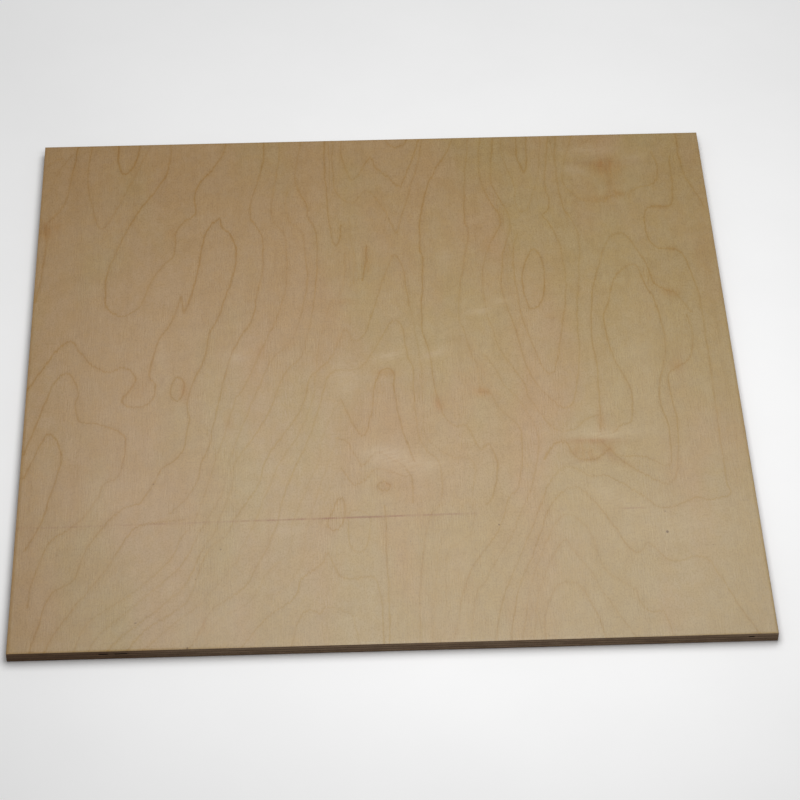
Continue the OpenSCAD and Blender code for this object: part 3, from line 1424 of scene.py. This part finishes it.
    def specks(self, bench: Bench, x: Socket, y: Socket, corner: Point, colour: Socket) -> Socket:
        """Draws the pinholes and specks.

        Args:
            bench: The material's bench.
            x, y: The place in metres.
            corner: The sheet's front left corner in metres.
            colour: The colour under them.

        Returns:
            The colour with the specks.
        """
        for speck in SPECKS:
            oval = bench.oval(x, y, speck, corner)
            share = bench.step(oval, self.speck_rim, self.speck_core, 0, speck.amount)
            colour = bench.lay(colour, self.pinhole, share, Blend.STAIN)
        return colour


@dataclass(frozen=True)
class BackVeneer:
    """The plain back: the same birch with a quieter figure, the level lines of long soft hills.

    Attributes:
        light, dark: The wood's two tones.
        broad: Where each of them lies.
        streaks, fibre: The grains laid over them.
        hills, ragged: The hills, and what frays their level lines.
        fray: How far it frays them.
        levels: How many level lines the hills have between 0 and 1.
        line_rise, line_peak: Where between two levels a line starts, and where it is darkest.
        ring_share: How strong the lines are.
        fibre_gloss, gloss_base: How the roughness changes with the fibres.
        relief_depth, relief_share: How deep the fibres' relief is, and how much of it acts.
    """

    light: Colour = (0.385, 0.268, 0.152)
    dark: Colour = (0.330, 0.222, 0.120)
    broad: Grain = Grain((4.5, 2.0, 1), 0.32, 0.64, detail=3, rough=0.55, shift=(9, 0, 0))
    streaks: Grain = Grain((190, 6, 1), 0.42, 0.70, 0, 0.55, 4, 0.65, (0, 3, 0), stain=(0.84, 0.80, 0.74))
    fibre: Grain = Grain((760, 22, 1), 0.40, 0.68, 0, 0.55, 4, 0.7, (0, 0, 5), stain=(0.82, 0.78, 0.72))
    hills: Grain = Grain((3.4, 0.55, 1), detail=1, rough=0.4, shift=(4, 7, 0))
    ragged: Grain = Grain((260, 9, 1), rough=0.6)
    fray: float = 0.012
    levels: float = 22.0
    line_rise: float = 0.55
    line_peak: float = 0.95
    ring_stain: Colour = (0.72, 0.60, 0.45)
    ring_share: float = 0.28
    fibre_gloss: float = 0.14
    gloss_base: float = 0.48
    relief_depth: float = 0.08 * MM
    relief_share: float = 0.6

    def make(self) -> bpy.types.Material:
        """Makes the material.

        Returns:
            The material.
        """
        bench = Bench("birch_back_veneer")
        place, *_ = bench.object_place()
        height = bench.scaled(bench.pattern(place, self.ragged), self.fray, bench.pattern(place, self.hills))
        saw = bench.math("FRACT", bench.times(height, self.levels))
        rise = bench.step(saw, self.line_rise, self.line_peak)
        fall = bench.step(saw, 1.0, self.line_peak)
        colour = bench.lay(self.dark, self.light, bench.grain(place, self.broad))
        colour, _ = bench.stained(place, colour, self.streaks)
        colour, fibre = bench.stained(place, colour, self.fibre)
        share = bench.times(rise, fall, self.ring_share)
        colour = bench.lay(colour, self.ring_stain, share, Blend.STAIN)
        bench.surface(colour, bench.scaled(fibre, self.fibre_gloss, self.gloss_base))
        bench.relief(fibre, self.relief_depth, self.relief_share)
        return bench.material


@dataclass(frozen=True)
class EdgePlies:
    """The sawn edges: plies that show end grain and long grain by turns, with dark glue lines between.

    Attributes:
        end_light, end_dark: The tones of end grain, part dark core wood and part painted shade.
        long_light, long_dark: The tones of long grain, part dark core wood and part painted shade.
        pores, fibres: Where each of them lies.
        strips, saw: Scorched strips and saw marks.
        outer_lift, outer_share: What makes the two outer plies paler.
        ply_shift: How far apart two plies' patterns are cut.
        wave, wave_share: What makes the glue lines wave, and by how much of a ply.
        glue_core, glue_rim: Where a glue line is full and gone, as shares of a ply.
        painted_gap_shade, gap_shade_start: Painted shade inside the core gaps, and how soon it is full.
        left_end_dark, left_end_share: What darkens the front edge towards its left end, and how much.
        left_end_full, left_end_gone: How far from the left it is full and gone.
        left_end_deep: How far in from the front edge it goes.
        pore_gloss, gloss_base: How the roughness changes with the pores.
        mirror: How strongly the surface mirrors.
        pore_height, saw_height: How high the pores and the saw marks stand in the relief.
        relief_depth, relief_share: How deep the relief is, and how much of it acts.
    """

    # The plies' tones are part dark core wood and part painted shade: the edges are made as dark as an edge
    # that faces away from the light.
    end_light: Colour = (0.205, 0.136, 0.082)
    end_dark: Colour = (0.072, 0.046, 0.026)
    long_light: Colour = (0.298, 0.203, 0.124)
    long_dark: Colour = (0.140, 0.090, 0.052)
    pores: Grain = Grain((1100, 1, 1100), 0.36, 0.66, detail=3, rough=0.7)
    fibres: Grain = Grain((26, 1, 1500), 0.34, 0.66, detail=4, rough=0.7)
    strips: Grain = Grain((16, 1, 1), 0.42, 0.66, 0, 0.55, 2, 0.6, (0, 0, 3), stain=(0.60, 0.52, 0.45))
    saw: Grain = Grain((420, 1, 9), 0.48, 0.68, 0, 0.6, shift=(0, 0, 7), stain=(0.80, 0.77, 0.74))
    outer_lift: Colour = (1.35, 1.35, 1.32)
    outer_share: float = 0.8
    ply_shift: float = 3.7
    glue: Colour = (0.34, 0.30, 0.27)
    glue_share: float = 0.85
    glue_core: float = 0.05
    glue_rim: float = 0.13
    wave: Grain = Grain((60, 1, 1))
    wave_share: float = 0.06
    painted_gap_shade: Colour = (0.09, 0.045, 0.035)
    gap_shade_start: float = 0.6 * MM
    left_end_dark: Colour = (0.55, 0.44, 0.33)
    left_end_share: float = 0.8
    left_end_full: float = 0.14
    left_end_gone: float = 0.36
    left_end_deep: float = 0.03
    pore_gloss: float = 0.2
    gloss_base: float = 0.68
    mirror: float = 0.25
    pore_height: float = 0.6
    saw_height: float = 0.5
    relief_depth: float = 0.12 * MM
    relief_share: float = 0.8

    HAIR = 0.01  # of a ply, which keeps the face itself in the top ply
    NO_GLUE, ALL_GLUE = 0.5, 0.6  # plies in from the face or the back

    def make(self, low: np.ndarray, high: np.ndarray, section: EdgeSection,
             gap_depth: float) -> bpy.types.Material:
        """Makes the material.

        Args:
            low, high: The CAD box's corners.
            section: The edge's section.
            gap_depth: How deep the core gaps go.

        Returns:
            The material.
        """
        bench = Bench("sawn_plywood_edge")
        _, x, y, z = bench.object_place()
        wide, long = (high[0] - low[0]) / 2, (high[1] - low[1]) / 2
        shared_x = bench.math("DIVIDE", bench.unsigned(x), wide)
        shared_y = bench.math("DIVIDE", bench.unsigned(y), long)
        on_side = bench.math("GREATER_THAN", shared_x, shared_y)
        on_front = bench.minus(1.0, on_side)
        level = bench.math("DIVIDE", z, section.ply)
        held = bench.math("MINIMUM", bench.greatest(level, 0.0), section.plies - self.HAIR)
        number = bench.math("FLOOR", held)
        place = bench.node("CombineXYZ")
        bench.feed(place.inputs[0], bench.plus(bench.times(x, on_front), bench.times(y, on_side)))
        bench.feed(place.inputs[1], bench.scaled(number, self.ply_shift, on_side))
        bench.feed(place.inputs[2], z)
        along = place.outputs[0]
        pores = bench.pattern(along, self.pores)
        colour = self.wood(bench, along, pores, number, on_side, section)
        colour, _ = bench.stained(along, colour, self.strips)
        colour, saw = bench.stained(along, colour, self.saw)
        colour = self.glue_lines(bench, along, level, section, colour)
        # Painted shade: the walls and back of each core gap are darkened from just inside their mouth.
        deep = bench.step(y, low[1], low[1] + self.gap_shade_start)
        inside = bench.times(deep, bench.math("LESS_THAN", y, low[1] + gap_depth + MM), on_front)
        colour = bench.lay(colour, self.painted_gap_shade, inside, Blend.STAIN)
        # The front edge is darker towards its left end.
        by_left = bench.step(x, low[0] + self.left_end_gone, low[0] + self.left_end_full)
        by_front = bench.step(y, low[1] + self.left_end_deep, low[1])
        colour = bench.lay(colour, self.left_end_dark, bench.times(by_left, by_front, self.left_end_share), Blend.STAIN)
        bench.surface(colour, bench.scaled(pores, self.pore_gloss, self.gloss_base), self.mirror)
        rough = bench.plus(bench.times(pores, self.pore_height), bench.times(saw, self.saw_height))
        bench.relief(rough, self.relief_depth, self.relief_share)
        return bench.material

    def wood(self, bench: Bench, along: Socket, pores: Socket, number: Socket, on_side: Socket,
             section: EdgeSection) -> Socket:
        """The plies' bare wood, end grain and long grain by turns, with the two outer plies paler.

        Args:
            bench: The material's bench.
            along: Coordinates that run along the edge.
            pores: The pores' noise.
            number: The ply's number, counted from the back.
            on_side: 1 on the left and right edges, 0 on the others.
            section: The edge's section.

        Returns:
            The colour.
        """
        end = bench.lay(self.end_dark, self.end_light, bench.cut(pores, self.pores))
        long_grain = bench.lay(self.long_dark, self.long_light, bench.grain(along, self.fibres))
        is_long = bench.unsigned(bench.minus(bench.math("MODULO", number, 2.0), on_side))
        colour = bench.lay(end, long_grain, is_long)
        middle = (section.plies - 1) / 2
        from_middle = bench.unsigned(bench.minus(number, middle))
        outer = bench.math("GREATER_THAN", from_middle, middle - 0.5)
        return bench.lay(colour, self.outer_lift, bench.times(outer, self.outer_share), Blend.STAIN)

    def glue_lines(self, bench: Bench, along: Socket, level: Socket, section: EdgeSection,
                   colour: Socket) -> Socket:
        """Draws a slightly waving glue line between every two plies.

        Args:
            bench: The material's bench.
            along: Coordinates that run along the edge.
            level: The height, counted in plies.
            section: The edge's section.
            colour: The colour under them.

        Returns:
            The colour with the glue lines.
        """
        straight = bench.minus(level, self.wave_share / 2)
        wave = bench.scaled(bench.pattern(along, self.wave), self.wave_share, straight)
        seam = bench.unsigned(bench.minus(bench.math("FRACT", bench.plus(wave, 0.5)), 0.5))
        from_back = bench.step(level, self.NO_GLUE, self.ALL_GLUE)
        from_face = bench.step(level, section.plies - self.NO_GLUE, section.plies - self.ALL_GLUE)
        inner = bench.times(from_back, from_face)
        glue = bench.times(bench.step(seam, self.glue_rim, self.glue_core), inner, self.glue_share)
        return bench.lay(colour, self.glue, glue, Blend.STAIN)


@dataclass(frozen=True)
class FloorFinish:
    """The plain pale floor: matt paint, hardly mottled."""

    light: Colour = (0.96, 0.96, 0.96)
    dark: Colour = (0.94, 0.94, 0.94)
    mottle: Grain = Grain((3, 3, 3), 0.3, 0.7, detail=4, rough=0.6)
    roughness: float = 0.9
    mirror: float = 0.1

    def make(self) -> bpy.types.Material:
        """Makes the material.

        Returns:
            The material.
        """
        bench = Bench("pale_floor")
        place, *_ = bench.object_place()
        colour = bench.lay(self.dark, self.light, bench.grain(place, self.mottle))
        bench.surface(colour, self.roughness, self.mirror)
        return bench.material


# ---------------------------------------------------------------- the sheet and the studio


class PlywoodSheet:
    """The whole sheet: its mesh, the face's figure, and its three finishes."""

    GAPS = (
        CoreGap(145 * MM, 15 * MM),
        CoreGap(170 * MM, 20 * MM),
        CoreGap(1173 * MM, 9 * MM),
    )

    def __init__(self, node: str) -> None:
        """Takes the sheet's place from the CAD.

        Args:
            node: The CAD node's name.
        """
        low, high = (np.array(corner, float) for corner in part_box(node))
        self.node = node
        self.low, self.high = low, high
        self.section = EdgeSection(thickness=float(high[2] - low[2]))
        self.shape = SheetMesh(low, high, self.section, self.GAPS)

    def dress(self, mesh: bpy.types.Mesh, face: np.ndarray) -> None:
        """Writes the ring lines, the stains and the painted highlights into the mesh as attributes.

        Args:
            mesh: The sheet's mesh.
            face: The face's vertex numbers.
        """
        places = np.zeros(len(mesh.vertices) * 3, np.float32)
        mesh.vertices.foreach_get("co", places)
        numbers = face.ravel()
        grid = (places.reshape(-1, 3)[numbers, :2] - self.low[:2]) / MM
        figure = Figure(RINGS)
        nothing = np.zeros(len(grid))
        # The stain attribute holds the orange stains, the painted highlights and the dark marks.
        fields = {
            "stain": np.column_stack([Figure.stain(grid, patches) for patches in (ORANGE, PAINTED_HIGHLIGHTS, DARK)]),
            "ochre": np.column_stack([Figure.stain(grid, OCHRE), nothing, nothing]),
        }
        for layer in range(Figure.LAYERS):
            fields[f"ring_offset_{layer}"], fields[f"ring_look_{layer}"] = figure.measure(layer, grid)
        for name, values in fields.items():
            whole = np.zeros((len(mesh.vertices), 3), np.float32)
            whole[numbers] = values
            mesh.attributes.new(name, "FLOAT_VECTOR", "POINT").data.foreach_set("vector", whole.ravel())

    def build(self) -> bpy.types.Object:
        """Builds and dresses the sheet.

        Returns:
            The sheet's object.
        """
        mesh, face = self.shape.build()
        corner = (float(self.low[0]), float(self.low[1]))
        self.dress(mesh, face)
        for material in (
            FaceVeneer().make(corner),
            BackVeneer().make(),
            EdgePlies().make(self.low, self.high, self.section, self.shape.gap_depth),
        ):
            mesh.materials.append(material)
        self.shape.paint(mesh)
        sheet = put("birch_plywood_sheet", mesh)
        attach(sheet, "root")
        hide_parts(self.node)
        return sheet


@dataclass(frozen=True)
class Softbox:
    """A flat studio light with a soft cloth front."""

    name: str
    place: Triple
    aim: Triple
    width: float
    height: float
    watts: float
    colour: Colour = (1.0, 1.0, 1.0)

    def hang(self) -> None:
        """Hangs the light and turns it to its aim."""
        light = bpy.data.lights.new(self.name, "AREA")
        light.shape = "RECTANGLE"
        light.size, light.size_y = self.width, self.height
        light.energy = self.watts
        light.color = self.colour
        holder = put(self.name, light)
        holder.location = self.place
        holder.rotation_euler = (Vector(self.aim) - Vector(self.place)).to_track_quat("-Z", "Y").to_euler()
        holder.visible_camera = False


@dataclass(frozen=True)
class Studio:
    """The plain pale floor, the lights and the camera, set out from the sheet's own box.

    Attributes:
        floor_radius: Of the round floor.
        floor_drop: How far the floor is under the sheet.
        spokes, rounds: Of the floor's points.
        sky: The grey of the light from all round.
        eye: The camera's place from the middle of the sheet's underside.
        aim: What it looks at, from there too.
        lens, sensor: Its focal length and the width of its sensor, in millimetres.
    """

    floor_radius: float = 9.0
    floor_drop: float = 0.5 * MM
    spokes: int = 64
    rounds: int = 12
    sky: float = 0.325
    eye: Triple = (-0.092, -3.501, 3.526)
    aim: Triple = (0.029, -0.073, 0.018)
    lens: float = 129.3
    sensor: float = 36.0
    lights: tuple[Softbox, ...] = (
        Softbox("overhead_softbox", (0.150, -0.280, 1.315), (0.150, -0.280, 0.0), 0.9, 0.9, 10.0),
        Softbox("back_softbox", (0.527, 2.015, 3.217), (0.05, -0.2, 0.0), 3.085, 1.584, 52.6),
    )

    def build_floor(self, level: float) -> bpy.types.Object:
        """Lays the floor, a disc of rings of quads round a middle fan.

        Each round of points is a circle, and the radius grows by even steps.

        Args:
            level: The sheet's underside.

        Returns:
            The floor's object.
        """
        total = self.spokes * self.rounds
        height = level - self.floor_drop
        angle = np.arange(self.spokes) * 2 * np.pi / self.spokes
        radius = self.floor_radius * np.arange(1, self.rounds + 1)[:, None] / self.rounds
        x, y = (radius * np.cos(angle)).ravel(), (radius * np.sin(angle)).ravel()
        places = np.vstack([np.column_stack([x, y, np.full(total, height)]), [[0.0, 0.0, height]]])
        number = np.arange(total).reshape(self.rounds, self.spokes)
        ahead = np.roll(number, -1, axis=1)
        quads = np.stack([number[:-1], number[1:], ahead[1:], ahead[:-1]], axis=-1).reshape(-1, 4)
        fan = np.column_stack([np.full(self.spokes, total), number[0], ahead[0]])
        mesh = bpy.data.meshes.new("floor")
        mesh.from_pydata(places.tolist(), [], quads.tolist() + fan.tolist())
        mesh.materials.append(FloorFinish().make())
        floor = put("floor", mesh)
        return floor

    def light(self) -> None:
        """Lights the room: an even pale sky and the softboxes."""
        world = bpy.data.worlds.new("studio")
        world.use_nodes = True
        background = world.node_tree.nodes["Background"]
        background.inputs["Color"].default_value = (1.0, 1.0, 1.0, 1.0)
        background.inputs["Strength"].default_value = self.sky
        bpy.context.scene.world = world
        for softbox in self.lights:
            softbox.hang()

    def set_camera(self, middle: Triple) -> None:
        """Sets the camera up and gives the picture plain colours.

        Args:
            middle: The middle of the sheet's underside.
        """
        camera = bpy.data.cameras.new("camera")
        camera.sensor_width = self.sensor
        camera.lens = self.lens
        camera.clip_end = 100.0
        holder = put("camera", camera)
        eye, aim = Vector(middle) + Vector(self.eye), Vector(middle) + Vector(self.aim)
        holder.location = eye
        holder.rotation_euler = (aim - eye).to_track_quat("-Z", "Y").to_euler()
        bpy.context.scene.camera = holder
        bpy.context.scene.view_settings.view_transform = "Standard"
        bpy.context.scene.view_settings.look = "None"

    def build(self, low: np.ndarray, high: np.ndarray) -> None:
        """Sets everything out round the sheet's box.

        Args:
            low, high: The box's corners.
        """
        self.build_floor(float(low[2]))
        self.light()
        self.set_camera((float(low[0] + high[0]) / 2, float(low[1] + high[1]) / 2, float(low[2])))


def main() -> None:
    """Builds the sheet and the studio round it."""
    logging.basicConfig(level=logging.INFO, format="%(name)s: %(message)s")
    sheet = PlywoodSheet(NODE)
    piece = sheet.build()
    piece.data.calc_loop_triangles()
    LOG.info("%s: %d triangles", piece.name, len(piece.data.loop_triangles))
    studio = Studio()
    studio.build(sheet.low, sheet.high)
    LOG.info("studio: floor, %d softboxes and a camera", len(studio.lights))


if __name__ == "__main__":
    main()
